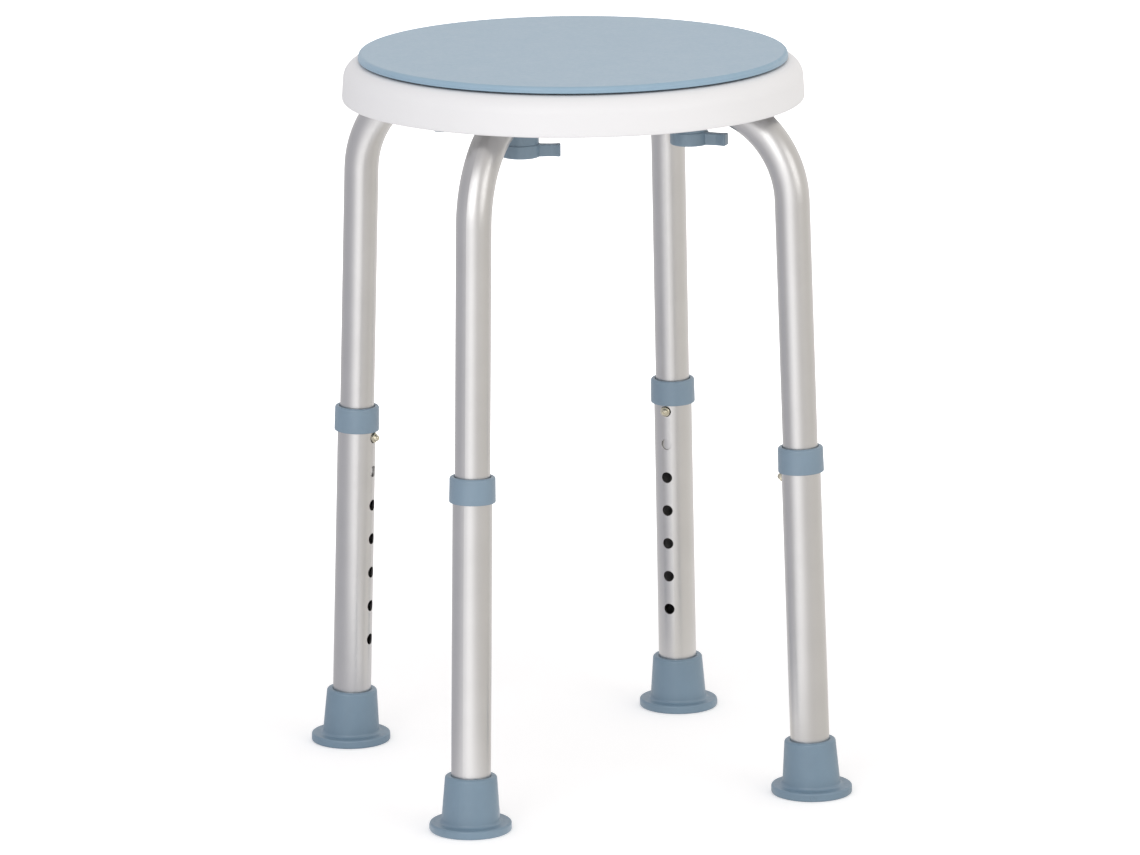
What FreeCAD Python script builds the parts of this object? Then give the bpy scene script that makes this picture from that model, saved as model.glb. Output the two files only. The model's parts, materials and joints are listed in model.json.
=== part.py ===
import FreeCAD, Part

import math
import os
import re

import Sketcher

# A round shower stool: a moulded seat shell that carries a swivelling disc on a ring of balls, and four
# bent legs.  Each leg's upper tube runs in under the seat, where a lever knob clamps it, and a lower tube
# with a rubber foot telescopes on it and is held by a snap button in one of a row of holes.
# Frame: millimetres, +Z up, the origin on the floor under the middle of the seat, the front towards -Y.
# Heights are above the floor; a leg's stations are measured along the leg from the floor.

SIZES = [
    # seat shell
    ("seat_radius", 165.0, "outside radius of the seat's rim"),
    ("seat_height", 521.4, "top of the seat's white land"),
    ("rim_depth", 27.6, "height of the rim"),
    ("seat_wall", 3.0, "wall of the moulded seat"),
    ("side_draft", 1.7, "lean of the rim's side over its height"),
    ("shoulder_radius", 12.5, "rounding between the land and the side"),
    ("lip_radius", 1.3, "rounding of the rim's lower lip"),
    ("lip_draft", 0.2, "lean of the rim below its widest place"),
    ("land_width", 24.0, "from the rim's outside to the sunk pan under the disc"),
    ("pan_depth", 5.0, "depth of the pan below the land"),
    ("pan_draft", 1.2, "lean of the pan's wall"),
    ("rib_thickness", 2.2, "every rib under the seat"),
    ("rib_depth", 4.5, "how far the ribs hang below the plate"),
    ("inner_ring_radius", 60.0, "inner ring rib"),
    ("outer_ring_inset", 19.0, "outer ring rib, in from the pan's edge"),
    ("spoke_angle", 27.0, "spoke rib, turned from the middle of a leg channel"),
    ("hub_wall", 4.5, "wall of the central hub"),
    ("hub_depth", 14.0, "how far the hub hangs below the plate"),
    ("drain_radius", 3.0, "drain holes in the pan"),
    ("drain_inset", 10.0, "drain holes, in from the pan's edge"),
    ("drain_angle", 45.0, "drain hole, turned from the middle of a leg channel"),
    # leg channels under the seat
    ("cradle_depth", 2.9, "plastic between the plate and the top of a leg tube"),
    ("channel_wall", 2.8, "side walls of a leg channel"),
    ("channel_clearance", 0.15, "between a leg tube and its channel"),
    ("channel_drop", 1.5, "how far the channel's sides hang below the tube's axis"),
    ("channel_stop", 31.0, "where the channel's inner end wall starts"),
    ("stop_wall", 3.0, "inner end wall of a channel"),
    ("tube_end_gap", 0.4, "between a leg tube's end and the channel's end wall"),
    # swivelling disc
    ("disc_lap", 12.0, "how far the swivelling disc laps over the land"),
    ("disc_gap", 1.5, "between the disc's edge and the land"),
    ("disc_edge", 4.6, "height of the disc's edge"),
    ("disc_wall", 3.0, "thickness of the disc"),
    ("disc_rounding", 2.4, "rounding of the disc's upper edge"),
    ("disc_rib_depth", 3.0, "ribs under the disc"),
    ("disc_ring_inset", 18.0, "ring rib under the disc, in from the knobs' axes"),
    ("disc_spokes", 8.0, "spoke ribs under the disc"),
    ("edge_wall", 2.6, "thickness of the disc's skirt"),
    # ball bearing under the disc
    ("ball_radius", 2.5, "balls of the swivel bearing"),
    ("ball_count", 24.0, "number of balls"),
    ("ball_clearance", 0.1, "between a ball and its races"),
    ("ball_height", 3.95, "centres of the balls above the pan's floor"),
    ("race_inset", 27.0, "circle that the balls run on, in from the pan's edge"),
    ("race_width", 14.0, "width of each race"),
    ("race_gap", 2.3, "between the two races"),
    ("cage_thickness", 1.1, "ball cage"),
    ("cage_width", 11.0, "width of the ball cage"),
    ("cage_play", 0.15, "between a ball and its pocket in the cage"),
    # pivot of the disc
    ("pivot_radius", 8.0, "pivot boss under the disc"),
    ("bush_wall", 3.0, "wall of the pivot bush"),
    ("bush_flange", 3.5, "how far the bush's flange stands out"),
    ("bush_flange_height", 1.5, "thickness of the bush's flange"),
    ("pivot_play", 0.08, "radial play of the pivot boss in its bush"),
    ("pivot_end_play", 0.4, "between the hub and the pivot's washer"),
    ("pivot_washer_radius", 15.0, "washer that keeps the disc on"),
    ("pivot_washer_thickness", 1.6, "washer that keeps the disc on"),
    ("screw_radius", 3.0, "pivot screw, M6"),
    ("screw_grip", 12.0, "how far the pivot screw goes into its insert"),
    ("screw_head_radius", 6.0, "head of the pivot screw"),
    ("screw_head_height", 3.6, "head of the pivot screw"),
    ("screw_socket", 2.0, "half the width of the pivot screw's hexagon socket"),
    ("screw_socket_depth", 2.0, "depth of the hexagon socket"),
    ("insert_wall", 1.5, "wall of a threaded insert"),
    ("thread_play", 0.05, "radial play of a plain shaft that stands for a thread"),
    # legs
    ("foot_spread", 19.0, "how far outside the rim the legs' axes meet the floor"),
    ("splay", 2.0, "lean of the legs, in degrees"),
    ("upper_radius", 12.5, "outside radius of the upper tubes"),
    ("lower_radius", 14.0, "outside radius of the lower tubes"),
    ("tube_wall", 1.2, "wall of the tubes"),
    ("bend_radius", 70.0, "centre line of the bend under the seat"),
    ("button_station", 231.0, "station of the snap button"),
    ("tube_overlap", 38.0, "upper tube below the snap button"),
    # height setting
    ("hole_pitch", 25.4, "between two height holes"),
    ("hole_count", 7.0, "number of height holes"),
    ("hole_radius", 4.1, "height holes"),
    ("button_radius", 3.6, "shank of the snap button"),
    ("button_reach", 4.2, "how far the button stands out of the lower tube"),
    ("button_step", 0.9, "step between the button's shank and its dome"),
    ("button_bevel", 0.4, "bevel at the end of the button's shank"),
    ("button_dome", 2.6, "height of the button's dome"),
    ("dimple_radius", 0.8, "dimple in the middle of the dome"),
    ("dimple_depth", 0.5, "dimple in the middle of the dome"),
    ("button_base", 1.0, "flange that keeps the button in the tube"),
    ("button_base_margin", 1.0, "how far that flange stands out"),
    ("button_seat_play", 0.3, "between the flange's rim and the tube's bore"),
    ("leaf_thickness", 0.8, "leaf spring of the snap button"),
    ("leaf_width", 7.0, "leaf spring of the snap button"),
    ("leaf_rise", 9.0, "leaf spring above and below the button"),
    ("leaf_length", 20.0, "sloping part of the leaf spring"),
    ("leaf_fold", 2.0, "outside radius of the leaf spring's fold"),
    # collar
    ("collar_height", 18.4, "collar on the lower tube"),
    ("collar_rise", 4.6, "collar's lower edge above the snap button's axis"),
    ("collar_wall", 2.4, "wall of the collar at its lower edge"),
    ("collar_taper", 0.25, "how much slimmer the collar is at its top"),
    ("collar_lip", 3.4, "top of the collar, over the end of the lower tube"),
    ("collar_play", 0.35, "between the collar's lip and the upper tube"),
    ("collar_rounding", 1.7, "rounding of the collar's top"),
    # foot
    ("foot_height", 39.5, "rubber foot"),
    ("boot_top_wall", 4.3, "wall of the foot's boot at its top"),
    ("boot_base_wall", 7.1, "wall of the foot's boot at its base"),
    ("boot_rounding", 2.0, "rounding of the boot's top"),
    ("boot_mouth", 0.9, "rounding of the boot's mouth, round the tube"),
    ("boot_root", 2.5, "rounding between the boot and the flange"),
    ("flange_radius", 29.0, "flange of the foot"),
    ("flange_height", 6.2, "flange of the foot"),
    ("flange_rounding", 1.4, "rounding of the flange's edges"),
    ("sole_thickness", 6.0, "rubber under the end of the tube"),
    ("tread_depth", 1.0, "grooves of the sole"),
    ("tread_width", 2.0, "grooves of the sole and the lands between them"),
    ("tread_start", 8.0, "inside radius of the first groove"),
    ("tread_count", 5.0, "number of grooves"),
    ("washer_thickness", 1.6, "steel washer in the foot"),
    ("washer_margin", 0.4, "between the washer's edge and the foot's bore"),
    # clamp under the seat
    ("clamp_inset", 9.0, "lever knob's axis, in from the end of the tube's bend"),
    ("stud_radius", 4.0, "threaded stud of the knob, M8"),
    ("stud_clearance", 0.4, "round the stud in the tube and the saddle"),
    ("stud_grip", 10.8, "how far the stud goes into the seat"),
    ("insert_cover", 0.5, "plastic over a threaded insert"),
    ("boss_wall", 2.5, "wall of the seat's bosses round the threaded inserts"),
    ("saddle_radius", 12.8, "clamp saddle"),
    ("saddle_height", 10.2, "clamp saddle below the tube"),
    ("saddle_play", 0.15, "between the saddle and the tube"),
    ("saddle_hug", 5.6, "how far the saddle reaches up the tube's sides"),
    ("knob_radius", 13.7, "hub of the lever knob"),
    ("knob_height", 9.3, "hub of the lever knob"),
    ("knob_rounding", 1.4, "rounding of the knob's lower edge"),
    ("stud_depth", 7.0, "how far the stud is moulded into the knob"),
    ("stud_chamfer", 0.8, "bevel at the end of the stud"),
    ("lever_reach", 28.0, "tip of the knob's lever from its axis"),
    ("lever_height", 8.5, "height of the lever"),
    ("lever_root", 9.6, "where the lever starts inside the hub"),
    ("lever_flank", 22.4, "curvature of the lever's sides"),
    ("lever_tip", 8.8, "width of the lever's flared tip"),
    ("lever_waist", 6.2, "width of the lever's waist"),
    ("lever_rounding", 1.4, "rounding of the lever's tip"),
    ("lever_edge", 0.8, "rounding of the lever's upper and lower edges"),
]

# name, direction of the leg and direction of its knob's lever, in degrees from +X
LEGS = [
    ("front_left", -135.0, -20.6),
    ("front_right", -45.0, -40.6),
    ("rear_right", 45.0, 60.0),
    ("rear_left", 135.0, -142.5),
]
LEG_COUNT = len(LEGS)
SEAT_TURN = LEGS[2][1]

# Heights and radii that follow from the sizes.
PAN_RADIUS = "(seat_radius - land_width)"
OUTER_RING = f"({PAN_RADIUS} - outer_ring_inset)"
DRAIN_CIRCLE = f"({PAN_RADIUS} - drain_inset)"
PAN_FLOOR = "(seat_height - pan_depth)"
PLATE = f"({PAN_FLOOR} - seat_wall)"
RIM_BOTTOM = "(seat_height - rim_depth)"
RUN = f"({PLATE} - cradle_depth - upper_radius)"
RUN_INNER = "(channel_stop + stop_wall + tube_end_gap)"
DISC_RADIUS = f"({PAN_RADIUS} + disc_lap)"
DISC_BOTTOM = "(seat_height + disc_gap)"
DISC_TOP = f"({DISC_BOTTOM} + disc_edge)"
DISC_UNDER = f"({DISC_TOP} - disc_wall)"
RACE_RADIUS = f"({PAN_RADIUS} - race_inset)"
BALLS = f"({PAN_FLOOR} + ball_height)"
BUSH_RADIUS = "(pivot_radius + pivot_play + bush_wall)"
HUB_BOTTOM = f"({PLATE} - hub_depth)"
PIVOT_BOTTOM = f"({HUB_BOTTOM} - pivot_end_play)"
INSERT_RADIUS = "(screw_radius + thread_play + insert_wall)"
LEG_INSERT_RADIUS = "(stud_radius + thread_play + insert_wall)"
INSERT_TOP = f"({RUN} + upper_radius + stud_grip)"
BOSS_TOP = f"({INSERT_TOP} + insert_cover)"
BOSS_RADIUS = f"({LEG_INSERT_RADIUS} + boss_wall)"
CHANNEL_RADIUS = "(upper_radius + channel_clearance)"
FOOT_CIRCLE = "(seat_radius + foot_spread)"
BEND_START = f"(({RUN} - bend_radius * (1 - sin(splay))) / cos(splay))"
BEND_END = f"({FOOT_CIRCLE} - bend_radius * cos(splay) - {BEND_START} * sin(splay))"
CLAMP_RADIUS = f"({BEND_END} - clamp_inset)"
DISC_RING = f"({CLAMP_RADIUS} - disc_ring_inset)"
TUBE_BOTTOM = "(sole_thickness + washer_thickness)"
COLLAR_BOTTOM = "(button_station + collar_rise)"
COLLAR_TOP = f"({COLLAR_BOTTOM} + collar_height)"
TUBE_TOP = f"({COLLAR_TOP} - collar_lip)"
BUTTON_TIP = "(lower_radius + button_reach)"
BUTTON_BASE = "(button_radius + button_base_margin)"
BUTTON_SEAT = f"(sqrt((upper_radius - tube_wall) ^ 2 - {BUTTON_BASE} ^ 2) - button_seat_play)"
LEAF_BACK = f"({BUTTON_SEAT} - button_base)"
LEAF_FRONT = "(sqrt((upper_radius - tube_wall) ^ 2 - (leaf_width / 2) ^ 2))"
KNOB_TOP = f"({RUN} - upper_radius - saddle_height)"

ALIASES = [alias for alias, value, note in SIZES]
ALIAS_WORDS = re.compile(r"\b(" + "|".join(ALIASES) + r")\b")
TOLERANCE = 0.01
FOLD_EASE = 1.05  # a fold's radius over half its width, so that it stays short of half a circle

document = FreeCAD.newDocument("shower_stool")
sheet = document.addObject("Spreadsheet::Sheet", "Sizes")


def fill_sheet():
    for row, (alias, value, note) in enumerate(SIZES, start=1):
        sheet.set(f"A{row}", note)
        sheet.set(f"B{row}", str(value))
        sheet.setAlias(f"B{row}", alias)
    document.recompute()


def bound(formula):
    """The formula with each size's name read from the sheet."""
    return ALIAS_WORDS.sub(r"Sizes.\1", str(formula))


def number(formula):
    return float(sheet.evalExpression(str(formula)))


# ---------------------------------------------------------------- sketches and features


def new_body(label, placement=None):
    body = document.addObject("PartDesign::Body", label)
    body.Label = label
    if placement:
        body.Placement = placement
    return body


def origin_feature(body, role):
    return next(item for item in body.Origin.OriginFeatures if item.Role == role)


def new_sketch(body, name, role, height=None, turn=None):
    """A sketch on one of the body's origin planes, raised along its normal and turned by a rotation."""
    sketch = body.newObject("Sketcher::SketchObject", name)
    sketch.AttachmentSupport = [(origin_feature(body, role), "")]
    sketch.MapMode = "FlatFace"
    if turn:
        sketch.AttachmentOffset = FreeCAD.Placement(FreeCAD.Vector(), turn)
    if height is not None:
        sketch.setExpression("AttachmentOffset.Base.z", bound(height))
    return sketch


def bind(sketch, kind, geometry, formula):
    """A constraint on sketch geometry whose value is a formula of the sheet's sizes."""
    index = sketch.addConstraint(Sketcher.Constraint(kind, *geometry, number(formula)))
    sketch.setExpression(f"Constraints[{index}]", bound(formula))


def pin_point(sketch, geometry, point, across, up):
    bind(sketch, "DistanceX", (-1, 1, geometry, point), across)
    bind(sketch, "DistanceY", (-1, 1, geometry, point), up)


def draw_circle(sketch, across, up, radius):
    centre = FreeCAD.Vector(number(across), number(up), 0)
    circle = sketch.addGeometry(Part.Circle(centre, FreeCAD.Vector(0, 0, 1), number(radius)))
    pin_point(sketch, circle, 3, across, up)
    bind(sketch, "Radius", (circle,), radius)


def arc_between(start, end, radius, side):
    """The shorter arc from start to end, with its centre on the given side of the way there."""
    way = end - start
    normal = FreeCAD.Vector(-way.y, way.x, 0).normalize()
    reach = math.sqrt(max(radius ** 2 - (way.Length / 2) ** 2, 0))
    centre = (start + end) * 0.5 + normal * (reach if side == "left" else -reach)
    first, last = (start, end) if side == "left" else (end, start)
    angles = [math.atan2(point.y - centre.y, point.x - centre.x) for point in (first, last)]
    return Part.ArcOfCircle(Part.Circle(centre, FreeCAD.Vector(0, 0, 1), radius), *angles)


def draw_outline(sketch, corners, closed=True):
    """Lines from corner to corner.  A corner is (across, up), or (across, up, radius, side) where the way
    on to the next corner is an arc of that radius whose centre lies to that side."""
    points = [FreeCAD.Vector(number(corner[0]), number(corner[1]), 0) for corner in corners]
    edges = []
    count = len(corners) if closed else len(corners) - 1
    for index in range(count):
        start = points[index]
        end = points[(index + 1) % len(points)]
        if len(corners[index]) == 2:
            geometry = sketch.addGeometry(Part.LineSegment(start, end))
            edges.append((geometry, 1, 2))
            continue
        radius, side = corners[index][2:]
        geometry = sketch.addGeometry(arc_between(start, end, number(radius), side))
        edges.append((geometry, 1, 2) if side == "left" else (geometry, 2, 1))
        bind(sketch, "Radius", (geometry,), radius)
    for index, (geometry, head, tail) in enumerate(edges):
        pin_point(sketch, geometry, head, *corners[index][:2])
        if closed or index + 1 < len(edges):
            following, following_head, _ = edges[(index + 1) % len(edges)]
            sketch.addConstraint(
                Sketcher.Constraint("Coincident", geometry, tail, following, following_head))
    if not closed:
        geometry, head, tail = edges[-1]
        pin_point(sketch, geometry, tail, *corners[-1][:2])


def add_feature(body, kind, name, sketch):
    feature = body.newObject(f"PartDesign::{kind}", name)
    feature.Profile = (sketch, [""])
    return feature


def volume_of(feature):
    document.recompute()
    return feature.Shape.Volume


def revolve(body, name, corners, lean=None):
    """Turns an outline of (radius, height) corners about the body's Z axis, or about an axis that leans
    back from it by that angle."""
    return add_turned(body, "Revolution", name, corners, lean)


def groove(body, name, corners, lean=None):
    before = volume_of(body)
    feature = add_turned(body, "Groove", name, corners, lean)
    expect_less(feature, before)
    return feature


def add_turned(body, kind, name, corners, lean):
    turn = FreeCAD.Rotation(FreeCAD.Vector(0, 0, 1), number(lean)) if lean else None
    sketch = new_sketch(body, name + "_outline", "XZ_Plane", turn=turn)
    draw_outline(sketch, corners)
    feature = add_feature(body, kind, name, sketch)
    feature.ReferenceAxis = (sketch, ["V_Axis"])
    feature.Angle = 360
    return feature


def pad(body, name, sketch, length, down=False, middle=False):
    feature = add_feature(body, "Pad", name, sketch)
    feature.setExpression("Length", bound(length))
    feature.Reversed = down
    feature.Midplane = middle
    return feature


def pocket(body, name, sketch, length=None, upward=False, middle=False):
    """A cut that goes against the sketch's normal, or along it where upward is set; without a length it
    goes through the whole body."""
    before = volume_of(body)
    feature = add_feature(body, "Pocket", name, sketch)
    if length:
        feature.setExpression("Length", bound(length))
    else:
        feature.Type = "ThroughAll"
    feature.Reversed = upward
    feature.Midplane = middle
    expect_less(feature, before)
    return feature


def expect_less(feature, before):
    if volume_of(feature) >= before - TOLERANCE:
        raise RuntimeError(f"{feature.Name} cuts nothing")


def repeat_round(body, name, features, count):
    document.recompute()
    pattern = body.newObject("PartDesign::PolarPattern", name)
    pattern.Originals = features
    pattern.Axis = (origin_feature(body, "Z_Axis"), [""])
    pattern.Angle = 360
    pattern.Occurrences = round(number(count))
    body.Tip = pattern
    return pattern


def circle_at(radius, height, lean=0):
    """Picks the round edges of that radius, that far up the body's Z axis or up an axis that leans back."""
    radius = number(radius)
    height = number(height)
    lean = math.radians(number(lean))
    centre = FreeCAD.Vector(-height * math.sin(lean), 0, height * math.cos(lean))

    def picked(edge):
        curve = edge.Curve
        if not isinstance(curve, Part.Circle):
            return False
        return max(abs(curve.Radius - radius), curve.Center.distanceToPoint(centre)) < TOLERANCE

    return picked


def oval_at(height):
    """Picks the flat edges at that height that aren't circles, as where a leaning boss meets a plane."""
    height = number(height)

    def picked(edge):
        box = edge.BoundBox
        flat = max(abs(box.ZMin - height), abs(box.ZMax - height)) < TOLERANCE
        return flat and not isinstance(edge.Curve, (Part.Circle, Part.Line))

    return picked


def level_beyond(reach):
    """Picks the level edges that reach out along X beyond that distance."""
    reach = number(reach)

    def picked(edge):
        level = edge.BoundBox.ZLength < TOLERANCE
        return level and edge.BoundBox.XMax > reach + TOLERANCE

    return picked


def round_edges(body, name, radius, *pickers):
    base = body.Tip
    document.recompute()
    edges = [f"Edge{index}" for index, edge in enumerate(base.Shape.Edges, start=1)
             if any(picked(edge) for picked in pickers)]
    if not edges:
        raise RuntimeError(f"{name} finds no edge to round")
    feature = body.newObject("PartDesign::Fillet", name)
    feature.Base = (base, edges)
    feature.setExpression("Radius", bound(radius))
    return feature


# ---------------------------------------------------------------- places


def turned(angle):
    return FreeCAD.Rotation(FreeCAD.Vector(0, 0, 1), angle)


def leg_place(azimuth):
    """The leg's frame: Z up along its axis from the floor, X away from the stool's middle."""
    lean = FreeCAD.Rotation(FreeCAD.Vector(0, 1, 0), -number("splay"))
    foot = turned(azimuth).multVec(FreeCAD.Vector(number(FOOT_CIRCLE), 0, 0))
    return FreeCAD.Placement(foot, turned(azimuth).multiply(lean))


def button_place(azimuth):
    """The snap button's frame: Z along its travel outwards, which is towards the stool's middle."""
    inward = FreeCAD.Rotation(FreeCAD.Vector(0, 1, 0), -90)
    station = FreeCAD.Vector(0, 0, number("button_station"))
    return leg_place(azimuth).multiply(FreeCAD.Placement(station, inward))


def clamp_place(azimuth, turn, height):
    """On a lever knob's axis at that height, turned to that direction."""
    spot = turned(azimuth).multVec(FreeCAD.Vector(number(CLAMP_RADIUS), 0, 0))
    return FreeCAD.Placement(FreeCAD.Vector(spot.x, spot.y, number(height)), turned(turn))


# ---------------------------------------------------------------- legs


def upper_leg_tube(name, azimuth):
    body = new_body(f"upper_leg_tube_{name}", leg_place(azimuth))
    bottom = "(button_station - tube_overlap)"
    ring = new_sketch(body, "tube_section", "XY_Plane", bottom)
    draw_circle(ring, 0, 0, "upper_radius")
    draw_circle(ring, 0, 0, "upper_radius - tube_wall")
    spine = new_sketch(body, "tube_path", "XZ_Plane")
    length = f"({BEND_END} - {RUN_INNER})"
    bend_across = "(bend_radius * (sin(splay) - 1))"
    bend_up = f"({BEND_START} + bend_radius * cos(splay))"
    draw_outline(spine, [
        (0, bottom),
        (0, BEND_START, "bend_radius", "left"),
        (bend_across, bend_up),
        (f"{bend_across} - {length} * cos(splay)", f"{bend_up} + {length} * sin(splay)"),
    ], closed=False)
    pipe = add_feature(body, "AdditivePipe", "tube", ring)
    pipe.Spine = (spine, ["Edge1", "Edge2", "Edge3"])

    button_hole = new_sketch(body, "button_hole_outline", "YZ_Plane")
    draw_circle(button_hole, 0, "button_station", "hole_radius")
    pocket(body, "button_hole", button_hole, "upper_radius + tube_wall")

    # The stud's hole is upright, so it leans by the splay in the leg's frame.
    stud_hole = new_sketch(body, "stud_hole_outline", "XY_Plane")
    draw_circle(stud_hole, f"({CLAMP_RADIUS} - {FOOT_CIRCLE}) / cos(splay)", 0,
                "stud_radius + stud_clearance")
    before = volume_of(body)
    feature = add_feature(body, "Pocket", "stud_hole", stud_hole)
    feature.setExpression("Length", bound("seat_height"))
    feature.UseCustomVector = True
    lean = math.radians(number("splay"))
    feature.Direction = FreeCAD.Vector(math.sin(lean), 0, math.cos(lean))
    feature.AlongSketchNormal = False
    expect_less(feature, before)
    return body


def lower_leg_tube(name, azimuth):
    body = new_body(f"lower_leg_tube_{name}", leg_place(azimuth))
    ring = new_sketch(body, "tube_section", "XY_Plane", TUBE_BOTTOM)
    draw_circle(ring, 0, 0, "lower_radius")
    draw_circle(ring, 0, 0, "lower_radius - tube_wall")
    pad(body, "tube", ring, f"{TUBE_TOP} - {TUBE_BOTTOM}")
    top_hole = new_sketch(body, "height_hole_outline", "YZ_Plane")
    draw_circle(top_hole, 0, "button_station", "hole_radius")
    hole = pocket(body, "height_hole", top_hole, "lower_radius + tube_wall")
    row = body.newObject("PartDesign::LinearPattern", "height_holes")
    row.Originals = [hole]
    row.Direction = (origin_feature(body, "Z_Axis"), [""])
    row.Reversed = True
    row.Mode = "Spacing"
    row.setExpression("Offset", bound("hole_pitch"))
    row.Occurrences = round(number("hole_count"))
    body.Tip = row
    return body


def leg_collar(name, azimuth):
    body = new_body(f"leg_collar_{name}", leg_place(azimuth))
    base_radius = "(lower_radius + collar_wall)"
    top_radius = f"({base_radius} - collar_taper)"
    lip_radius = "(upper_radius + collar_play)"
    revolve(body, "ring", [
        ("lower_radius", COLLAR_BOTTOM),
        (base_radius, COLLAR_BOTTOM),
        (top_radius, COLLAR_TOP),
        (lip_radius, COLLAR_TOP),
        (lip_radius, TUBE_TOP),
        ("lower_radius", TUBE_TOP),
    ])
    round_edges(body, "top_rounding", "collar_rounding", circle_at(top_radius, COLLAR_TOP))
    round_edges(body, "small_roundings", "collar_rounding / 2",
                circle_at(base_radius, COLLAR_BOTTOM), circle_at(lip_radius, COLLAR_TOP))
    return body


def foot(name, azimuth):
    """Rubber foot: the boot leans with the leg and the flange lies flat on the floor."""
    body = new_body(f"foot_{name}", FreeCAD.Placement(leg_place(azimuth).Base, turned(azimuth)))
    disc = new_sketch(body, "flange_outline", "XY_Plane")
    draw_circle(disc, 0, 0, "flange_radius")
    pad(body, "flange", disc, "flange_height")
    boot_top = "(lower_radius + boot_top_wall)"
    revolve(body, "boot", [
        (0, "flange_height / 2"),
        ("lower_radius + boot_base_wall", "flange_height / 2"),
        (boot_top, "foot_height"),
        (0, "foot_height"),
    ], lean="splay")
    groove(body, "bore", [
        (0, "sole_thickness"),
        ("lower_radius", "sole_thickness"),
        ("lower_radius", "foot_height + sole_thickness"),
        (0, "foot_height + sole_thickness"),
    ], lean="splay")
    round_edges(body, "top_rounding", "boot_rounding", circle_at(boot_top, "foot_height", "splay"))
    round_edges(body, "mouth_rounding", "boot_mouth", circle_at("lower_radius", "foot_height", "splay"))
    round_edges(body, "root_rounding", "boot_root", oval_at("flange_height"))
    round_edges(body, "flange_roundings", "flange_rounding",
                circle_at("flange_radius", "flange_height"), circle_at("flange_radius", 0))
    treads = new_sketch(body, "tread_outline", "XY_Plane")
    for groove_number in range(round(number("tread_count"))):
        inside = f"(tread_start + {2 * groove_number} * tread_width)"
        draw_circle(treads, 0, 0, inside)
        draw_circle(treads, 0, 0, f"{inside} + tread_width")
    pocket(body, "treads", treads, "tread_depth", upward=True)
    return body


def foot_washer(name, azimuth):
    body = new_body(f"foot_washer_{name}", leg_place(azimuth))
    disc = new_sketch(body, "washer_outline", "XY_Plane", "sole_thickness")
    draw_circle(disc, 0, 0, "lower_radius - washer_margin")
    pad(body, "washer", disc, "washer_thickness")
    return body


def snap_button(name, azimuth):
    body = new_body(f"snap_button_{name}", button_place(azimuth))
    shank_end = f"({BUTTON_TIP} - button_dome)"
    dimple_floor = f"({BUTTON_TIP} - dimple_depth)"
    revolve(body, "button", [
        (0, LEAF_BACK),
        (BUTTON_BASE, LEAF_BACK),
        (BUTTON_BASE, BUTTON_SEAT),
        ("button_radius", BUTTON_SEAT),
        ("button_radius", f"{shank_end} - button_bevel"),
        ("button_radius - button_bevel", shank_end),
        ("button_radius - button_step", shank_end, "button_dome + dimple_radius", "left"),
        ("dimple_radius", BUTTON_TIP),
        ("dimple_radius / 2", dimple_floor),
        (0, dimple_floor),
    ])
    return body


def button_spring(name, azimuth):
    """A leaf folded into a V: one arm presses the button out, the other rests on the tube's far wall."""
    body = new_body(f"button_spring_{name}", leg_place(azimuth))
    top = "(button_station + leaf_rise)"
    knee = "(button_station - leaf_rise)"
    fold = f"({knee} - leaf_length)"
    inner_fold = "(leaf_fold - leaf_thickness)"
    leaf = new_sketch(body, "leaf_outline", "XZ_Plane")
    draw_outline(leaf, [
        (f"-{LEAF_BACK}", top),
        (f"-{LEAF_BACK}", knee),
        ("-leaf_fold", fold, f"leaf_fold * {FOLD_EASE}", "left"),
        ("leaf_fold", fold),
        (LEAF_FRONT, knee),
        (LEAF_FRONT, top),
        (f"{LEAF_FRONT} - leaf_thickness", top),
        (f"{LEAF_FRONT} - leaf_thickness", knee),
        (inner_fold, fold, f"{inner_fold} * {FOLD_EASE}", "right"),
        (f"-{inner_fold}", fold),
        (f"leaf_thickness - {LEAF_BACK}", knee),
        (f"leaf_thickness - {LEAF_BACK}", top),
    ])
    pad(body, "leaf", leaf, "leaf_width", middle=True)
    return body


# ---------------------------------------------------------------- clamps under the seat


def clamp_saddle(name, azimuth):
    """Sits on the knob and holds the leg tube from below.  Its frame has the tube's axis along X at 0."""
    body = new_body(f"clamp_saddle_{name}", clamp_place(azimuth, azimuth, RUN))
    block = new_sketch(body, "block_outline", "XY_Plane", "-(upper_radius + saddle_height)")
    draw_circle(block, 0, 0, "saddle_radius")
    draw_circle(block, 0, 0, "stud_radius + stud_clearance")
    pad(body, "block", block, "saddle_height + saddle_hug")
    trough = new_sketch(body, "trough_outline", "YZ_Plane")
    draw_circle(trough, 0, 0, "upper_radius + saddle_play")
    pocket(body, "trough", trough, middle=True)
    return body


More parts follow.
